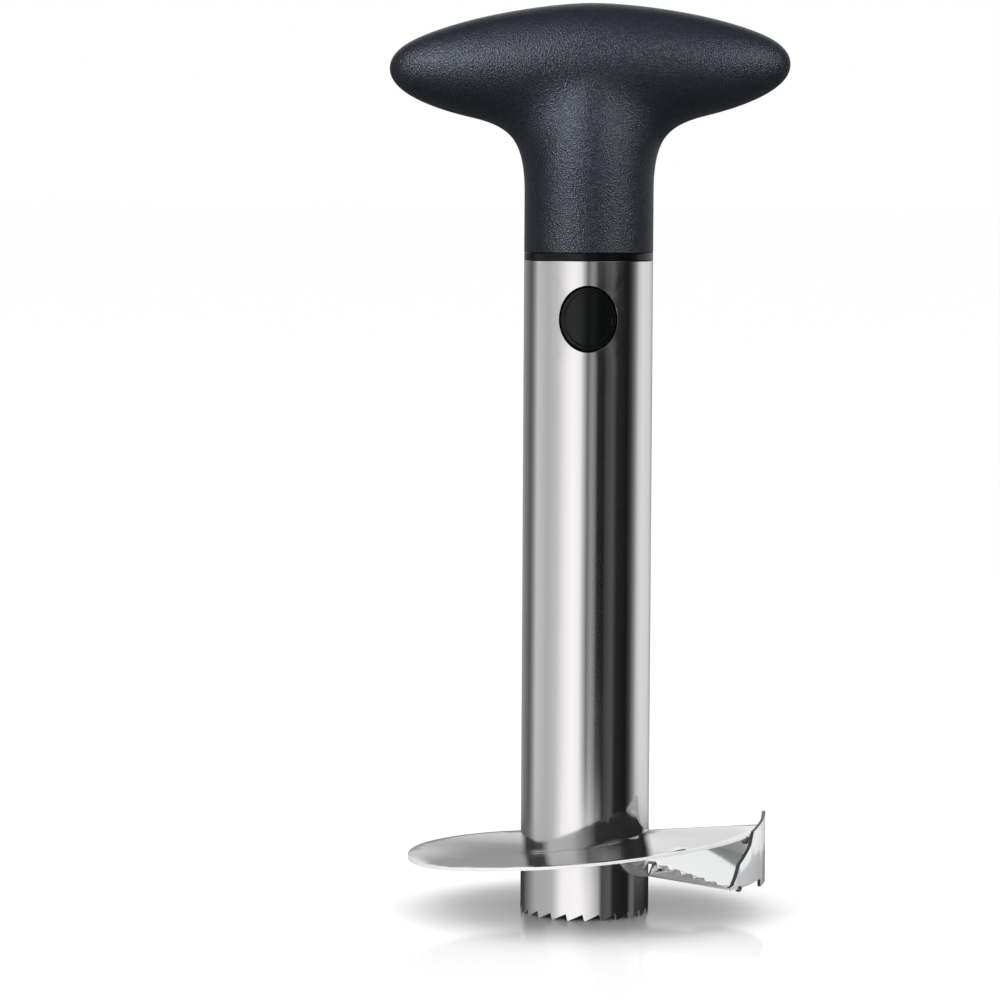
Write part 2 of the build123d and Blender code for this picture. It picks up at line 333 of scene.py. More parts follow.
def smoothed(mesh, sharp_angle=BODY_ANGLE):
    """Shades a mesh smooth, with sharp edges past an angle."""
    mesh.shade_smooth()
    mesh.set_sharp_from_angle(angle=sharp_angle)
    return mesh


class Graph:
    """Short way to write a node tree."""

    def __init__(self, tree):
        self.tree = tree
        tree.nodes.clear()

    def add(self, kind, settings=None, **inputs):
        node = self.tree.nodes.new(kind)
        for key, value in (settings or {}).items():
            setattr(node, key, value)
        for key, value in inputs.items():
            self.put(node, key.replace("_", " "), value)
        return node

    def put(self, node, key, value):
        socket = node.inputs[int(key) if key.isdigit() else key]
        if isinstance(value, bpy.types.NodeSocket):
            self.tree.links.new(value, socket)
        else:
            socket.default_value = value

    def math(self, operation, *values):
        node = self.add("ShaderNodeMath", {"operation": operation})
        for i, value in enumerate(values):
            self.put(node, str(i), value)
        return node.outputs[0]

    def ramp(self, factor, stops):
        """Colour ramp from (place, brightness or colour) stops."""
        node = self.add("ShaderNodeValToRGB", Fac=factor)
        elements = node.color_ramp.elements
        while len(elements) < len(stops):
            elements.new(1.0)
        for element, (spot, tone) in zip(elements, stops):
            element.position = spot
            element.color = (tone, tone, tone, 1) if isinstance(tone, (int, float)) else (*tone, 1)
        return node.outputs[0]

    def range(self, value, low, high):
        """Maps 0 to 1 onto a range."""
        node = self.add("ShaderNodeMapRange", Value=value)
        self.put(node, "To Min", low)
        self.put(node, "To Max", high)
        return node.outputs[0]

    def step(self, value, low, high):
        """Soft step from 0 to 1 between two values."""
        node = self.add("ShaderNodeMapRange", {"interpolation_type": "SMOOTHSTEP"}, Value=value)
        self.put(node, "From Min", low)
        self.put(node, "From Max", high)
        return node.outputs[0]

    def blend(self, factor, first, second, kind="MIX"):
        node = self.add("ShaderNodeMix", {"data_type": "RGBA", "blend_type": kind}, Factor=factor)
        self.put(node, "6", first)
        self.put(node, "7", second)
        return node.outputs[2]

    def noise(self, vector, scale, detail):
        return self.add("ShaderNodeTexNoise", Vector=vector, Scale=scale, Detail=detail).outputs[0]

    def bump(self, height, strength, distance):
        return self.add("ShaderNodeBump", Strength=strength, Distance=distance, Height=height).outputs[0]

    def stretched(self, vector, x, y, z):
        node = self.add("ShaderNodeVectorMath", {"operation": "MULTIPLY"})
        self.put(node, "0", vector)
        self.put(node, "1", (x, y, z))
        return node.outputs[0]

    def mix_shader(self, factor, first, second):
        node = self.add("ShaderNodeMixShader")
        self.put(node, "0", factor)
        self.put(node, "1", first.outputs[0])
        self.put(node, "2", second.outputs[0])
        return node


# Metals without a property of their own
SCREW_COLOUR = (0.55, 0.55, 0.57)
# Near-black steel of the tube's inside: painted shade of the hollow, on a real unpolished finish
TUBE_INSIDE_SHADE_COLOUR = (0.11, 0.11, 0.11)
KNIFE_COLOUR = (0.82, 0.83, 0.84)


def new_material(name):
    """Material with an empty graph and the object's own coordinates."""
    material = bpy.data.materials.new(name)
    material.use_nodes = True
    graph = Graph(material.node_tree)
    coordinates = graph.add("ShaderNodeTexCoord")
    return material, graph, coordinates.outputs["Object"]


def finish_material(graph, shader):
    output = graph.add("ShaderNodeOutputMaterial")
    graph.put(output, "Surface", shader.outputs[0])


def finish_principled(graph, **inputs):
    finish_material(graph, graph.add("ShaderNodeBsdfPrincipled", **inputs))


def polished_steel(name, colour):
    """Drawn and polished stainless tube: near mirror, with faint lines along it."""
    material, graph, spot = new_material(name)
    lines = graph.noise(graph.stretched(spot, 1, 1, 0.012), 5200, 3)
    cloud = graph.noise(spot, 60, 3)
    bump = graph.bump(lines, 0.03, 0.01 * MM)
    wear = graph.math("ADD", graph.range(lines, -0.01, 0.01), graph.range(cloud, 0.06, 0.11))
    finish_principled(
        graph,
        Base_Color=(*colour, 1),
        Metallic=1.0,
        Roughness=wear,
        Normal=bump,
    )
    return material


def dull_steel(name, colour):
    """Unpolished inside of the tube, with streaks along it; given the near-black inside colour, it paints
    the shade inside the tube.
    """
    material, graph, spot = new_material(name)
    streaks = graph.noise(graph.stretched(spot, 1, 1, 0.05), 900, 4)
    bump = graph.bump(streaks, 0.2, 0.02 * MM)
    finish_principled(
        graph,
        Base_Color=graph.ramp(streaks, [(0.3, tuple(c * 0.6 for c in colour)), (0.7, colour)]),
        Metallic=1.0,
        Roughness=graph.range(streaks, 0.38, 0.55),
        Normal=bump,
    )
    return material


def brushed_sheet(name, colour, spread, metal):
    """Stainless sheet brushed round the axis, whose lights spread across the brushing."""
    material, graph, spot = new_material(name)
    flat = graph.stretched(spot, 1, 1, 0)
    length = graph.add("ShaderNodeVectorMath", {"operation": "LENGTH"})
    graph.put(length, "0", flat)
    parts = graph.add("ShaderNodeSeparateXYZ", Vector=spot)
    turn = graph.math("ARCTAN2", parts.outputs["Y"], parts.outputs["X"])
    along = graph.math("MULTIPLY", turn, 0.0008)
    polar = graph.add("ShaderNodeCombineXYZ", X=length.outputs["Value"], Y=along)
    lines = graph.noise(polar.outputs[0], 3600, 4)
    cloud = graph.noise(spot, 90, 3)
    bump = graph.bump(lines, 0.18, 0.02 * MM)
    rough = graph.math("ADD", graph.range(lines, -0.03, 0.03), graph.range(cloud, 0.08, 0.15))
    around = graph.add("ShaderNodeTangent", {"direction_type": "RADIAL", "axis": "Z"})
    finish_principled(
        graph,
        Base_Color=(*colour, 1),
        Metallic=metal,
        Roughness=rough,
        Anisotropic=spread,
        Anisotropic_Rotation=0.25,
        Tangent=around.outputs[0],
        Normal=bump,
    )
    return material


def ground_edge(name):
    """Edge of the sheet, painted near-white and half metallic as a painted highlight that is bright from
    all sides.
    """
    material, graph, spot = new_material(name)
    marks = graph.noise(spot, 2400, 3)
    bump = graph.bump(marks, 0.3, 0.02 * MM)
    finish_principled(
        graph,
        Base_Color=graph.ramp(marks, [(0.3, 0.86), (0.7, 0.95)]),
        Metallic=0.35,
        Roughness=graph.range(marks, 0.30, 0.45),
        Normal=bump,
    )
    return material


def sheared_edge(name):
    """Sheared edge of the sheet, painted dark grey as shade along the knife's edges."""
    material, graph, spot = new_material(name)
    marks = graph.noise(graph.stretched(spot, 1, 1, 0.2), 1900, 3)
    bump = graph.bump(marks, 0.3, 0.02 * MM)
    finish_principled(
        graph,
        Base_Color=graph.ramp(marks, [(0.3, (0.13, 0.14, 0.14)), (0.7, (0.24, 0.24, 0.25))]),
        Metallic=1.0,
        Roughness=graph.range(marks, 0.35, 0.5),
        Normal=bump,
    )
    return material


def weld_metal(name, colour):
    """Dull beads of weld with a straw and blue tint of heat."""
    material, graph, spot = new_material(name)
    cloud = graph.noise(spot, 900, 3)
    tint = graph.ramp(cloud, [(0.3, (0.34, 0.33, 0.36)), (0.55, colour), (0.75, (0.55, 0.46, 0.33))])
    bump = graph.bump(graph.noise(spot, 2600, 3), 0.4, 0.06 * MM)
    finish_principled(
        graph,
        Base_Color=tint,
        Metallic=1.0,
        Roughness=graph.range(cloud, 0.28, 0.5),
        Normal=bump,
    )
    return material


def leather_grain(name, colour):
    """Moulded plastic with a fine leather grain, whose cell centres are lightened in colour as painted
    glints.
    """
    material, graph, spot = new_material(name)
    warp = graph.add("ShaderNodeTexNoise", Vector=spot, Scale=700.0, Detail=2.0)
    shifted = graph.add("ShaderNodeVectorMath", {"operation": "MULTIPLY_ADD"})
    graph.put(shifted, "0", warp.outputs["Color"])
    graph.put(shifted, "1", (0.3 * MM, 0.3 * MM, 0.3 * MM))
    graph.put(shifted, "2", spot)
    cells = graph.add(
        "ShaderNodeTexVoronoi",
        {"feature": "SMOOTH_F1"},
        Vector=shifted.outputs[0],
        Scale=2500.0,
        Smoothness=0.3,
    )
    fine = graph.noise(spot, 3300, 2)
    grain = graph.math("ADD", cells.outputs["Distance"], graph.math("MULTIPLY", fine, 0.5))
    bump = graph.bump(grain, 0.62, 0.2 * MM)
    shade = graph.noise(spot, 45, 2)
    # Painted glints: the grain's cell centres are made up to 3.5 times lighter in colour
    painted_glints = graph.ramp(cells.outputs["Distance"], [(0.10, 3.5), (0.38, 0.6)])
    deep = tuple(c * 0.85 for c in colour)
    tint = graph.blend(1.0, graph.ramp(shade, [(0.35, deep), (0.65, colour)]), painted_glints, "MULTIPLY")
    finish_principled(
        graph,
        Base_Color=tint,
        Roughness=graph.range(grain, 0.31, 0.39),
        Specular_IOR_Level=0.42,
        Specular_Tint=(0.84, 0.90, 1.0, 1),
        Normal=bump,
    )
    return material


def gloss_plastic(name, colour):
    """Smooth black moulded plastic with faint rubbing marks."""
    material, graph, spot = new_material(name)
    cloud = graph.noise(spot, 220, 4)
    bump = graph.bump(graph.noise(spot, 700, 2), 0.06, 0.05 * MM)
    finish_principled(
        graph,
        Base_Color=(*colour, 1),
        Roughness=graph.range(cloud, 0.05, 0.13),
        Specular_IOR_Level=0.24,
        Normal=bump,
    )
    return material


# The bar's outline leaves the ellipse from the first share of its half height on, and has done so
# after the second
LEAVE_START, LEAVE_REACH = 0.05, 0.6

# Eases the middle of the bar's outline, where a power under 2 would leave a crease
CREASE_EASE = 0.006

# Least share of the blend's width, left where bar and neck face the same way
LEAST_BLEND = 0.04

# Keeps a slope that is divided by from being nothing
TINY_SLOPE = 1e-9


def handle_field(points, sizes):
    """Signed distance from the handle's outer form, near it: bar, neck and the blend between them."""
    x, y, z = points.T
    half_height = sizes.bar_height / 2
    half_depth = sizes.bar_depth / 2
    bar_centre = rear_high.z - half_height - sizes.bar_drop
    lean_cos, lean_sin = cos(sizes.bar_lean), sin(sizes.bar_lean)
    right = x * lean_cos + (z - bar_centre) * lean_sin
    up = ((z - bar_centre) * lean_cos - x * lean_sin) / half_height
    lift = np.clip((np.abs(up) - LEAVE_START) / LEAVE_REACH, 0, 1)
    end_power = np.where(up > 0, sizes.crown_power, sizes.belly_power)
    power = 2 + (end_power - 2) * lift * lift * (3 - 2 * lift)
    along = np.sqrt((right / bar_half_length) ** 2 + CREASE_EASE)
    bar = along**power - CREASE_EASE ** (power / 2) + (y / half_depth) ** 2 + up**2 - 1
    right_slope = power * along ** (power - 2) * right / bar_half_length**2
    up_slope = 2 * up / half_height
    bar_slope = np.stack(
        [
            right_slope * lean_cos - up_slope * lean_sin,
            2 * y / half_depth**2,
            right_slope * lean_sin + up_slope * lean_cos,
        ],
        1,
    )
    above = np.maximum(z - joint_level - sizes.neck_straight, 0)
    neck = (x * x + y * y) / tube_radius**2 + (above / sizes.neck_dome) ** 2 - 1
    neck_slope = np.stack(
        [2 * x / tube_radius**2, 2 * y / tube_radius**2, 2 * above / sizes.neck_dome**2], 1
    )
    bar_steep = np.linalg.norm(bar_slope, axis=1) + TINY_SLOPE
    neck_steep = np.linalg.norm(neck_slope, axis=1) + TINY_SLOPE
    facing = np.sum(bar_slope * neck_slope, 1) / (bar_steep * neck_steep)
    width = sizes.blend_width * np.clip(1 - facing, LEAST_BLEND, 1)
    bar_away = bar / bar_steep
    neck_away = neck / neck_steep
    overlap = np.maximum(width - np.abs(bar_away - neck_away), 0) / width
    return np.minimum(bar_away, neck_away) - overlap * overlap * width / 4


# Step over which the field's slope is measured, and the least square of it that is divided by
PROBE_STEP = 0.02 * MM
LEAST_SQUARE = 0.05


def drawn_to_field(points, sizes, passes=3):
    """Points moved onto the handle's outer form."""
    for _ in range(passes):
        away = handle_field(points, sizes)
        rises = [
            handle_field(points + step, sizes) - handle_field(points - step, sizes)
            for step in PROBE_STEP * np.eye(3)
        ]
        slope = np.stack(rises, 1) / (2 * PROBE_STEP)
        points = points - slope * (away / np.maximum(np.sum(slope * slope, 1), LEAST_SQUARE))[:, None]
    return points


# Times that the skin's points are evened out along the outer form
EVENING_PASSES = 12


def handle_skin(sizes):
    """Quad mesh of the handle's whole outer form, from a little below the joint."""
    bm = bmesh.new()
    bar_centre = rear_high.z - sizes.bar_height / 2 - sizes.bar_drop
    reach = Matrix.Diagonal((bar_half_length, sizes.bar_depth / 2, sizes.bar_height / 2, 1))
    bar = Matrix.Translation((0, 0, bar_centre)) @ reach
    bmesh.ops.create_icosphere(bm, subdivisions=5, radius=1, matrix=bar)
    foot = joint_level - 4 * sizes.mesh_step
    neck_height = bar_centre - foot
    bmesh.ops.create_cone(
        bm,
        cap_ends=True,
        segments=96,
        radius1=tube_radius,
        radius2=tube_radius,
        depth=neck_height,
        matrix=Matrix.Translation((0, 0, foot + neck_height / 2)),
    )
    mesh = settle(mesh_from(bm, "handle_rough"), "handle_skin", voxel_remesh(sizes.mesh_step))
    count = len(mesh.vertices)
    points = np.zeros(count * 3)
    mesh.vertices.foreach_get("co", points)
    points = points.reshape(-1, 3)
    edges = np.zeros(len(mesh.edges) * 2, int)
    mesh.edges.foreach_get("vertices", edges)
    edges = edges.reshape(-1, 2)
    valence = np.bincount(edges.ravel(), minlength=count)[:, None]
    foot_points = points[:, 2] < joint_level - sizes.mesh_step
    for _ in range(EVENING_PASSES):
        drawn = np.zeros_like(points)
        np.add.at(drawn, edges[:, 0], points[edges[:, 1]])
        np.add.at(drawn, edges[:, 1], points[edges[:, 0]])
        eased = drawn_to_field(points * 0.5 + drawn / valence * 0.5, sizes, 1)
        points = np.where(foot_points[:, None], points, eased)
    points = np.where(foot_points[:, None], points, drawn_to_field(points, sizes))
    mesh.vertices.foreach_set("co", points.ravel())
    return mesh


# Faces at a cut that are narrower than this are dissolved
SLIVER_WIDTH = 0.05 * MM


def shell_half(skin, side, sizes):
    """Skin of one shell: side is -1 for the front and 1 for the rear."""
    bm = bmesh.new()
    bm.from_mesh(skin)
    for origin, away in (
        ((0, 0, joint_level), (0, 0, -1)),
        ((0, side * sizes.seam / 2, 0), (0, -side, 0)),
    ):
        everything = bm.verts[:] + bm.edges[:] + bm.faces[:]
        bmesh.ops.bisect_plane(
            bm, geom=everything, plane_co=origin, plane_no=away, clear_outer=True, dist=1e-7
        )
    bmesh.ops.dissolve_degenerate(bm, dist=SLIVER_WIDTH, edges=bm.edges[:])
    return mesh_from(bm, "shell_half")


# Screws of the handle: across, up, and depth of the seat behind the seam
SCREW_SPOTS = [
    (-28.0 * MM, 223.7 * MM, 7.0 * MM),
    (28.0 * MM, 223.7 * MM, 7.0 * MM),
    (0.0, 205.2 * MM, 10.0 * MM),
]

# How far each post stands up from its seat, and how deep its bore goes
POST_HEIGHT = 3.5 * MM
BORE_DEPTH = 12 * MM


def screw_rods(name, radius, start, length):
    """Rods along Y over the screw spots, each from a depth off its seat."""
    bm = bmesh.new()
    for across, level, seat in SCREW_SPOTS:
        middle = seat + start + length / 2
        turn = Matrix.Translation((across, middle, level)) @ Matrix.Rotation(pi / 2, 4, "X")
        bmesh.ops.create_cone(
            bm, cap_ends=True, segments=40, radius1=radius, radius2=radius, depth=length, matrix=turn
        )
    return put_in_scene(name, mesh_from(bm, name))


def softbox(name, spot, target, size, power):
    """Rectangular light at a spot, turned to a target."""
    light = bpy.data.lights.new(name, "AREA")
    light.shape = "RECTANGLE"
    light.size, light.size_y = size
    light.energy = power
    lamp = put_in_scene(name, light)
    lamp.location = spot
    lamp.rotation_euler = (Vector(target) - lamp.location).to_track_quat("-Z", "Y").to_euler()
    return lamp


# Softboxes of the grip, 1 m off its axis: name, heading, height over the grip's top, size and power
GRIP_SOFTBOXES = [
    ("left_softbox", -40, 0.46, (0.30, 0.90), 17),
    ("right_softbox", 52, 0.36, (0.20, 0.70), 9),
]

# What they are turned to: a point on the axis, this far under the grip's top
GRIP_TARGET_DROP = 25 * MM


def grip_softboxes(grips, level):
    """Two tall softboxes for the grip alone, whose lights run down the neck on both sides."""
    lit = bpy.data.collections.new("grip_lit")
    for grip in grips:
        lit.objects.link(grip)
    target = (0, 0, rear_high.z - GRIP_TARGET_DROP)
    for name, heading, lift, size, power in GRIP_SOFTBOXES:
        turn = radians(heading)
        spot = (sin(turn), -cos(turn), rear_high.z + lift)
        lamp = softbox(name, spot, target, size, power * level)
        lamp.light_linking.receiver_collection = lit


class SLICER_OT_handle(Operator):
    """Build the two moulded shells of the handle"""

    bl_idname = "slicer.handle"
    bl_label = "Handle Shells"

    def execute(self, context):
        sizes = context.scene.slicer_handle
        grain = leather_grain("charcoal_leather_grain", tuple(sizes.colour))
        skin = handle_skin(sizes)
        thick = thickened(sizes.wall)
        eased = bevel(0.2 * MM, 2, 50)
        front = smoothed(settle(shell_half(skin, -1, sizes), "front_grip", thick, eased))
        front_grip = place("front_grip", front, "handle", "grip_plastic", [grain], "grip_front_shell")
        posts = screw_rods("posts", sizes.post_radius, -sizes.post_floor, sizes.post_floor + POST_HEIGHT)
        bores = screw_rods("bores", sizes.bore_radius, 0, BORE_DEPTH)
        raised = ("BOOLEAN", {"operation": "UNION", "object": posts})
        bored = ("BOOLEAN", {"operation": "DIFFERENCE", "object": bores})
        rear = smoothed(settle(shell_half(skin, 1, sizes), "rear_grip", thick, raised, bored, eased))
        for rods in (posts, bores):
            bpy.data.objects.remove(rods)
        rear_grip = place("rear_grip", rear, "handle", "grip_plastic", [grain], "grip_rear_shell")
        grip_softboxes((front_grip, rear_grip), context.scene.slicer_studio.grip_level)
        bpy.data.meshes.remove(skin)
        return {"FINISHED"}


class SLICER_OT_screws(Operator):
    """Finish the three screws in the rear shell"""

    bl_idname = "slicer.screws"
    bl_label = "Screws"

    def execute(self, context):
        dress("grip_screws", polished_steel("screw_plating", SCREW_COLOUR))
        return {"FINISHED"}


# Columns of faces on the slope of each tooth
SLOPE_COLUMNS = 5


def tooth_stops(sizes, pitch):
    """Places along one tooth and the height of the rim there."""
    slope = pitch - sizes.tooth_lean - sizes.tooth_flat
    stops = [(0.0, 0.0), (sizes.tooth_flat, 0.0)]
    for k in range(1, SLOPE_COLUMNS + 1):
        share = k / SLOPE_COLUMNS
        stops.append((sizes.tooth_flat + slope * share, sizes.tooth_depth * share))
    return stops


# Patch of faces round the button's hole: how far it reaches past the hole, and its rings, as shares
# of the way from the patch's border to the hole
PATCH_MARGIN = 3 * MM
PATCH_RINGS = (0.35, 0.68, 1.0)

# Levels of the tube's faces below, beside and above that patch
LEVELS_BELOW, LEVELS_BESIDE, LEVELS_ABOVE = 16, 15, 4


def tube_skin(sizes):
    """Outer face of the tube: toothed lower rim, plain upper rim and oval hole."""
    pitch = 2 * pi * tube_radius / sizes.tooth_count
    columns = []
    for tooth in range(sizes.tooth_count):
        for along, height in tooth_stops(sizes, pitch):
            columns.append(((tooth * pitch + along) / tube_radius, tube_low.z + height))
    hole_half_width = latch_high.x + sizes.button_gap
    hole_level = latch_high.z - sizes.button_half_height
    hole_half_height = sizes.button_half_height + sizes.button_gap
    patch_low = hole_level - hole_half_height - PATCH_MARGIN
    patch_high = hole_level + hole_half_height + PATCH_MARGIN
    levels = list(np.linspace(tube_low.z + 2 * sizes.tooth_depth, patch_low, LEVELS_BELOW))
    levels += list(np.linspace(patch_low, patch_high, LEVELS_BESIDE))[1:]
    levels += list(np.linspace(patch_high, tube_high.z, LEVELS_ABOVE))[1:]

    bm = bmesh.new()
    grid = []
    for turn, foot in columns:
        spot = Vector((tube_radius * cos(turn), tube_radius * sin(turn), 0))
        grid.append([bm.verts.new(spot + Vector((0, 0, z))) for z in [foot] + levels])

    def side(column):
        """How far a column lies from the front, in radians."""
        turn = columns[column % len(columns)][0] + pi / 2
        return (turn + pi) % (2 * pi) - pi

    edge = asin(hole_half_width / tube_radius) + PATCH_MARGIN / tube_radius
    patch_columns = sorted((c for c in range(len(columns)) if abs(side(c)) < edge), key=side)
    first, last = patch_columns[0], patch_columns[-1]
    low_row = 1 + levels.index(patch_low)
    high_row = 1 + levels.index(patch_high)
    inside = set(patch_columns[:-1])
    for c in range(len(columns)):
        after = (c + 1) % len(columns)
        for r in range(len(levels)):
            if c in inside and low_row <= r < high_row:
                continue
            bm.faces.new((grid[c][r], grid[after][r], grid[after][r + 1], grid[c][r + 1]))
    border = [grid[c][low_row] for c in patch_columns]
    border += [grid[last][r] for r in range(low_row + 1, high_row)]
    border += [grid[c][high_row] for c in reversed(patch_columns)]
    border += [grid[first][r] for r in range(high_row - 1, low_row, -1)]
    rings = [border]
    for share in PATCH_RINGS:
        ring = []
        for vert in border:
            across = asin(max(-1, min(1, vert.co.x / tube_radius))) * tube_radius
            up = vert.co.z - hole_level
            heading = atan2(up / hole_half_height, across / hole_half_width)
            hole_x = hole_half_width * cos(heading)
            hole_across = asin(hole_x / tube_radius) * tube_radius
            hole_up = hole_half_height * sin(heading)
            turn = (across + (hole_across - across) * share) / tube_radius
            level = hole_level + up + (hole_up - up) * share
            ring.append(bm.verts.new((tube_radius * sin(turn), -tube_radius * cos(turn), level)))
        rings.append(ring)
    for outer, inner in zip(rings, rings[1:]):
        for k in range(len(outer)):
            after = (k + 1) % len(outer)
            bm.faces.new((outer[k], outer[after], inner[after], inner[k]))
    bmesh.ops.recalc_face_normals(bm, faces=bm.faces[:])
    bm.faces.ensure_lookup_table()
    centre = bm.faces[0].calc_center_median()
    if bm.faces[0].normal.dot(Vector((centre.x, centre.y, 0))) < 0:
        bmesh.ops.reverse_faces(bm, faces=bm.faces[:])
    mesh = mesh_from(bm, "tube_skin")

    # Slots for the materials of the outside and the inside, whose dark colour is painted shade
    mesh.materials.append(None)
    mesh.materials.append(None)
    return mesh


class SLICER_OT_tube(Operator):
    """Build the cutting tube with its saw teeth and button hole"""

    bl_idname = "slicer.tube"
    bl_label = "Cutting Tube"

    def execute(self, context):
        sizes = context.scene.slicer_cutter
        steel = polished_steel("tube_steel", tuple(sizes.tube_colour))
        # The inside's near-black colour is painted shade
        inside = dull_steel("tube_inside_painted_shade", TUBE_INSIDE_SHADE_COLOUR)
        wall = thickened(sizes.tube_wall, material_offset=1)
        mesh = settle(tube_skin(sizes), "cutting_tube", wall, bevel(0.06 * MM, 2, 40))
        place("cutting_tube", smoothed(mesh), "cutter", "tube_steel", [steel, inside], "tube")
        return {"FINISHED"}


# Lip of the blade's leading edge: how far off the tube it starts, and how far over the blade's
# lowest point it ends
LIP_START = 3 * MM
LIP_HEIGHT = 7 * MM


class SLICER_OT_blade(Operator):
    """Finish the screw-shaped slicing blade"""

    bl_idname = "slicer.blade"
    bl_label = "Slicing Blade"

    def execute(self, context):
        sizes = context.scene.slicer_cutter
        steel = brushed_sheet("blade_steel", tuple(sizes.blade_colour), spread=0.5, metal=1.0)
        # The edge material paints a highlight on the rim and the lip
        edge = ground_edge("blade_edge_painted_highlight")
        mesh = settle(welded_copy("blade"), "slicing_blade", bevel(sizes.edge_round, 3, 55))
        rim_radius = blade_high.x - 2 * sizes.edge_round
        mark_blade_edges(mesh, rim_radius, tube_radius + LIP_START, blade_low.z + LIP_HEIGHT)
        smoothed(mesh, SHEET_ANGLE)
        place("slicing_blade", mesh, "cutter", "blade_steel", [steel, edge], "blade")
        return {"FINISHED"}


class SLICER_OT_knife(Operator):
    """Finish the upright knife on the blade's rim"""

    bl_idname = "slicer.knife"
    bl_label = "Rim Knife"

    def execute(self, context):
        sizes = context.scene.slicer_cutter
        steel = brushed_sheet("knife_steel", KNIFE_COLOUR, spread=0.0, metal=0.4)
        # The edge material paints shade along the knife's edges
        edge = sheared_edge("knife_edge_painted_shade")
        mesh = settle(welded_copy("outer_knife"), "rim_knife", bevel(sizes.edge_round, 3, 55))
        mark_knife_edges(mesh)
        smoothed(mesh, SHEET_ANGLE)
        place("rim_knife", mesh, "cutter", "blade_steel", [steel, edge], "outer_knife")
        return {"FINISHED"}


class SLICER_OT_welds(Operator):
    """Finish the weld beads"""

    bl_idname = "slicer.welds"
    bl_label = "Weld Beads"

    def execute(self, context):
        sizes = context.scene.slicer_cutter
        metal = weld_metal("weld_metal", tuple(sizes.weld_colour))
        clouds = bpy.data.textures.new("ripples", "CLOUDS")
        clouds.noise_scale = 0.6 * MM
        ripples = ("DISPLACE", {"texture": clouds, "strength": 0.3 * MM, "mid_level": 0.5})
        for name, node in (("root_beads", "blade_welds"), ("knife_beads", "knife_welds")):
            mesh = settle(welded_copy(node), name, voxel_remesh(0.14 * MM), ripples)
            place(name, smoothed(mesh, BEAD_ANGLE), "cutter", "weld_steel", [metal], node)
        return {"FINISHED"}


class SLICER_OT_plug(Operator):
    """Finish the plug and its collar"""

    bl_idname = "slicer.plug"
    bl_label = "Plug"

    def execute(self, context):
        sizes = context.scene.slicer_cutter
        dress("tube_plug", gloss_plastic("plug_gloss", tuple(sizes.plastic_colour)))
        return {"FINISHED"}


class SLICER_OT_latch(Operator):
    """Finish the latch and its oval button"""

    bl_idname = "slicer.latch"
    bl_label = "Latch Button"

    def execute(self, context):
        sizes = context.scene.slicer_cutter
        dress("latch", gloss_plastic("latch_gloss", tuple(sizes.plastic_colour)))
        return {"FINISHED"}


# What stands round the slicer, by heading: 0 is at the camera, right is positive.
# Each is a heading in degrees and a brightness, with soft edges between them.
TABLE_PANELS = [
    (-180, 0.30),
    (-162, 0.36),
    (-136, 0.19),
    (-122, 0.11),
    (-113, 0.24),
    (-101, 0.66),
    (-74, 0.53),
    (-56, 0.64),
    (-37, 1.06),
    (-25, 1.18),
    (-13, 1.06),
    (-5, 0.44),
    (0, 0.14),
    (7, 0.34),
    (12, 0.26),
    (18, 0.02),
    (28, 0.01),
    (35, 0.06),
    (46, 0.10),
    (54, 0.02),
    (76, 0.008),
    (84, 0.05),
    (94, 0.24),
    (104, 0.72),
    (116, 0.86),
    (142, 0.76),
    (164, 0.42),
    (180, 0.30),
]

# The same below the blade, where the panels come out further to the right
FOOT_PANELS = [
    (-180, 0.05),
    (-144, 0.05),
    (-119, 0.25),
    (-100, 0.45),
    (-60, 0.52),
    (-42, 1.10),
    (-4, 1.20),
    (10, 0.90),
    (23, 0.60),
    (30, 0.08),
    (45, 0.12),
    (52, 0.02),
    (84, 0.01),
    (90, 0.15),
    (97, 0.15),
    (103, 0.01),
    (180, 0.01),
]

# At the grip's own level, where nothing stands at its sides
GRIP_PANELS = [
    (-180, 0.32),
    (-150, 0.32),
    (-128, 0.05),
    (-84, 0.03),
    (-66, 0.60),
    (-26, 0.60),
    (2, 0.10),
    (28, 0.40),
    (54, 0.30),
    (70, 0.02),
    (128, 0.02),
    (150, 0.32),
    (180, 0.32),
]

# Wall behind the slicer, above the table's far edge
BACK_PANELS = [
    (-180, 1.05),
    (-150, 0.80),
    (-128, 0.05),
    (-84, 0.10),
    (-68, 0.46),
    (-26, 0.55),
    (2, 0.24),
    (18, 0.02),
    (126, 0.02),
    (150, 0.85),
    (180, 1.05),
]

# White shelf above that wall
SHELF_PANELS = [
    (-180, 1.20),
    (-150, 1.00),
    (-132, 0.05),
    (-88, 0.05),
    (-68, 0.60),
    (-28, 0.60),
    (4, 0.10),
    (18, 0.02),
    (128, 0.02),
    (148, 1.00),
    (180, 1.20),
]

# What stands above the shelf
UPPER_PANELS = [
    (-180, 0.05),
    (-100, 0.05),
    (-66, 1.20),
    (-30, 1.20),
    (0, 0.30),
    (34, 0.60),
    (56, 0.60),
    (90, 0.05),
    (180, 0.05),
]

# From which height on each of them stands: where it starts, where it has taken over
BANDS = [
    (-0.156, -0.150, TABLE_PANELS),
    (-0.003, 0.006, GRIP_PANELS),
    (0.10, 0.20, BACK_PANELS),
    (0.26, 0.34, SHELF_PANELS),
    (0.50, 0.62, UPPER_PANELS),
]

# Plain ends straight above and below: where each starts, where it has taken over, its brightness
PLAIN_ENDS = [
    (0.72, 0.86, 0.25),
    (-0.20, -0.32, 0.18),
]


def heading_ramp(graph, spot, panels):
    """Brightness by heading, from a place of 0 to 1 on the full turn."""
    return graph.ramp(spot, [((angle + 180) / 360, tone) for angle, tone in panels])


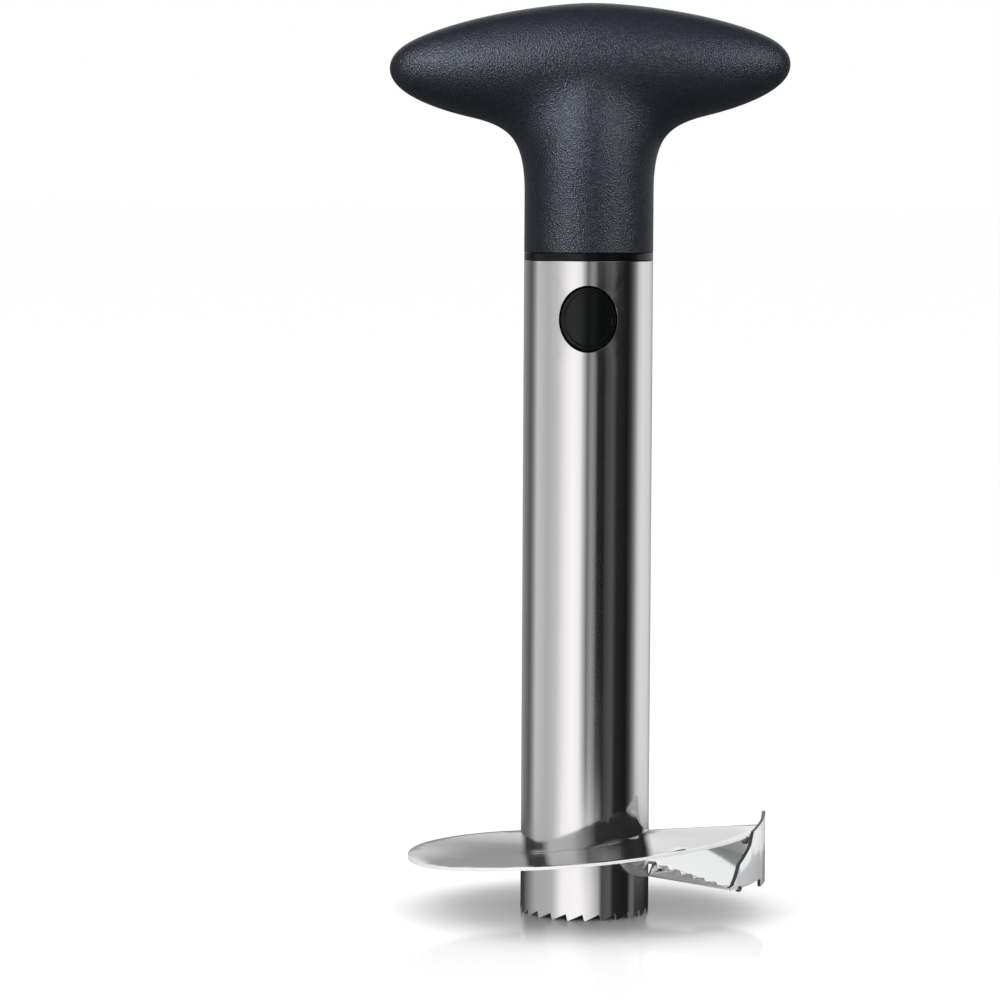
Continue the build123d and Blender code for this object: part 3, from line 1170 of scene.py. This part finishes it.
def studio_world(sizes):
    """White to the camera, panels and floor to what mirrors them, and plain light for the rest."""
    world = bpy.data.worlds.new("studio")
    bpy.context.scene.world = world
    world.use_nodes = True
    graph = Graph(world.node_tree)
    coordinates = graph.add("ShaderNodeTexCoord")
    parts = graph.add("ShaderNodeSeparateXYZ", Vector=coordinates.outputs["Generated"])
    turn = graph.math("ARCTAN2", parts.outputs["X"], graph.math("MULTIPLY", parts.outputs["Y"], -1.0))
    spot = graph.math("MULTIPLY_ADD", turn, 1 / (2 * pi), 0.5)
    level = parts.outputs["Z"]
    sky = heading_ramp(graph, spot, FOOT_PANELS)
    for low, high, panels in BANDS:
        sky = graph.blend(graph.step(level, low, high), sky, heading_ramp(graph, spot, panels))
    for low, high, tone in PLAIN_ENDS:
        sky = graph.blend(graph.step(level, low, high), sky, (tone, tone, tone, 1))
    rays = graph.add("ShaderNodeLightPath")
    seen = graph.math("MAXIMUM", rays.outputs["Is Camera Ray"], rays.outputs["Is Transmission Ray"])
    mirrored = graph.add("ShaderNodeBackground", Color=sky, Strength=1.0)
    fill = graph.add("ShaderNodeBackground", Color=(1, 1, 1, 1), Strength=sizes.fill_level)
    white = graph.add("ShaderNodeBackground", Color=(1, 1, 1, 1), Strength=1.0)
    unseen = graph.mix_shader(rays.outputs["Is Glossy Ray"], fill, mirrored)
    shader = graph.mix_shader(seen, unseen, white)
    output = graph.add("ShaderNodeOutputWorld")
    graph.put(output, "Surface", shader.outputs[0])


# Half the width of the floor in metres, and the share of it that mirrors
FLOOR_REACH = 150
FLOOR_SHINE = 0.26


def white_floor(sizes):
    """White sweep that keeps the slicer's shadow and a trace of its reflection."""
    bm = bmesh.new()
    bmesh.ops.create_grid(bm, x_segments=2, y_segments=2, size=FLOOR_REACH)
    mesh = mesh_from(bm, "floor")
    floor = put_in_scene("floor", mesh)
    floor.visible_glossy = False
    material = bpy.data.materials.new("floor_white")
    material.use_nodes = True
    graph = Graph(material.node_tree)
    matt = graph.add("ShaderNodeBsdfDiffuse", Color=(*sizes.floor_colour, 1))
    shine = graph.add("ShaderNodeBsdfGlossy", Color=(1, 1, 1, 1), Roughness=0.07)
    finish_material(graph, graph.mix_shader(FLOOR_SHINE, matt, shine))
    mesh.materials.append(material)


# Where the key softbox hangs, what it is turned to, and its size
KEY_SPOT = (-0.75, -0.75, 1.0)
KEY_TARGET = (0, 0, 0.1)
KEY_SIZE = (0.9, 0.9)


def key_softbox(sizes):
    """Large soft light from the front left."""
    lamp = softbox("key_softbox", KEY_SPOT, KEY_TARGET, KEY_SIZE, sizes.key_power)
    lamp.visible_glossy = False


def studio_camera(sizes):
    """Camera low in front of the slicer."""
    data = bpy.data.cameras.new("camera")
    data.lens = sizes.lens
    data.shift_y = sizes.rise
    data.clip_start = 0.01
    camera = put_in_scene("camera", data)
    facing = Matrix.Rotation(sizes.turn, 4, "Z") @ Matrix.Rotation(pi / 2 - sizes.tilt, 4, "X")
    spot = Matrix.Translation((0, -sizes.distance, sizes.eye_level))
    camera.matrix_world = spot @ facing @ Matrix.Rotation(sizes.roll, 4, "Z")
    bpy.context.scene.camera = camera


class SLICER_OT_stage(Operator):
    """Set up the floor, the light and the camera"""

    bl_idname = "slicer.stage"
    bl_label = "Studio"

    def execute(self, context):
        sizes = context.scene.slicer_studio
        studio_world(sizes)
        white_floor(sizes)
        key_softbox(sizes)
        studio_camera(sizes)
        context.scene.view_settings.view_transform = "Standard"
        return {"FINISHED"}


STEPS = [
    SLICER_OT_stage,
    SLICER_OT_handle,
    SLICER_OT_screws,
    SLICER_OT_tube,
    SLICER_OT_blade,
    SLICER_OT_knife,
    SLICER_OT_welds,
    SLICER_OT_plug,
    SLICER_OT_latch,
]


class SLICER_PT_panel(Panel):
    """Lists the steps that build the slicer"""

    bl_idname = "SLICER_PT_panel"
    bl_label = "Pineapple Slicer"
    bl_space_type = "VIEW_3D"
    bl_region_type = "UI"
    bl_category = "Slicer"

    def draw(self, context):
        scene = context.scene
        for sizes in (scene.slicer_handle, scene.slicer_cutter, scene.slicer_studio):
            box = self.layout.box()
            for key in sizes.bl_rna.properties.keys():
                if key not in ("rna_type", "name"):
                    box.prop(sizes, key)
        for step in STEPS:
            self.layout.operator(step.bl_idname)


CLASSES = [HandleSizes, CutterSizes, StudioSizes, *STEPS, SLICER_PT_panel]


def register():
    for cls in CLASSES:
        bpy.utils.register_class(cls)
    bpy.types.Scene.slicer_handle = PointerProperty(type=HandleSizes)
    bpy.types.Scene.slicer_cutter = PointerProperty(type=CutterSizes)
    bpy.types.Scene.slicer_studio = PointerProperty(type=StudioSizes)


def unregister():
    del bpy.types.Scene.slicer_handle
    del bpy.types.Scene.slicer_cutter
    del bpy.types.Scene.slicer_studio
    for cls in reversed(CLASSES):
        bpy.utils.unregister_class(cls)


def main():
    register()
    for step in STEPS:
        group, name = step.bl_idname.split(".")
        if getattr(getattr(bpy.ops, group), name)() != {"FINISHED"}:
            raise RuntimeError(f"{step.bl_label} didn't finish")


if __name__ == "__main__":
    main()
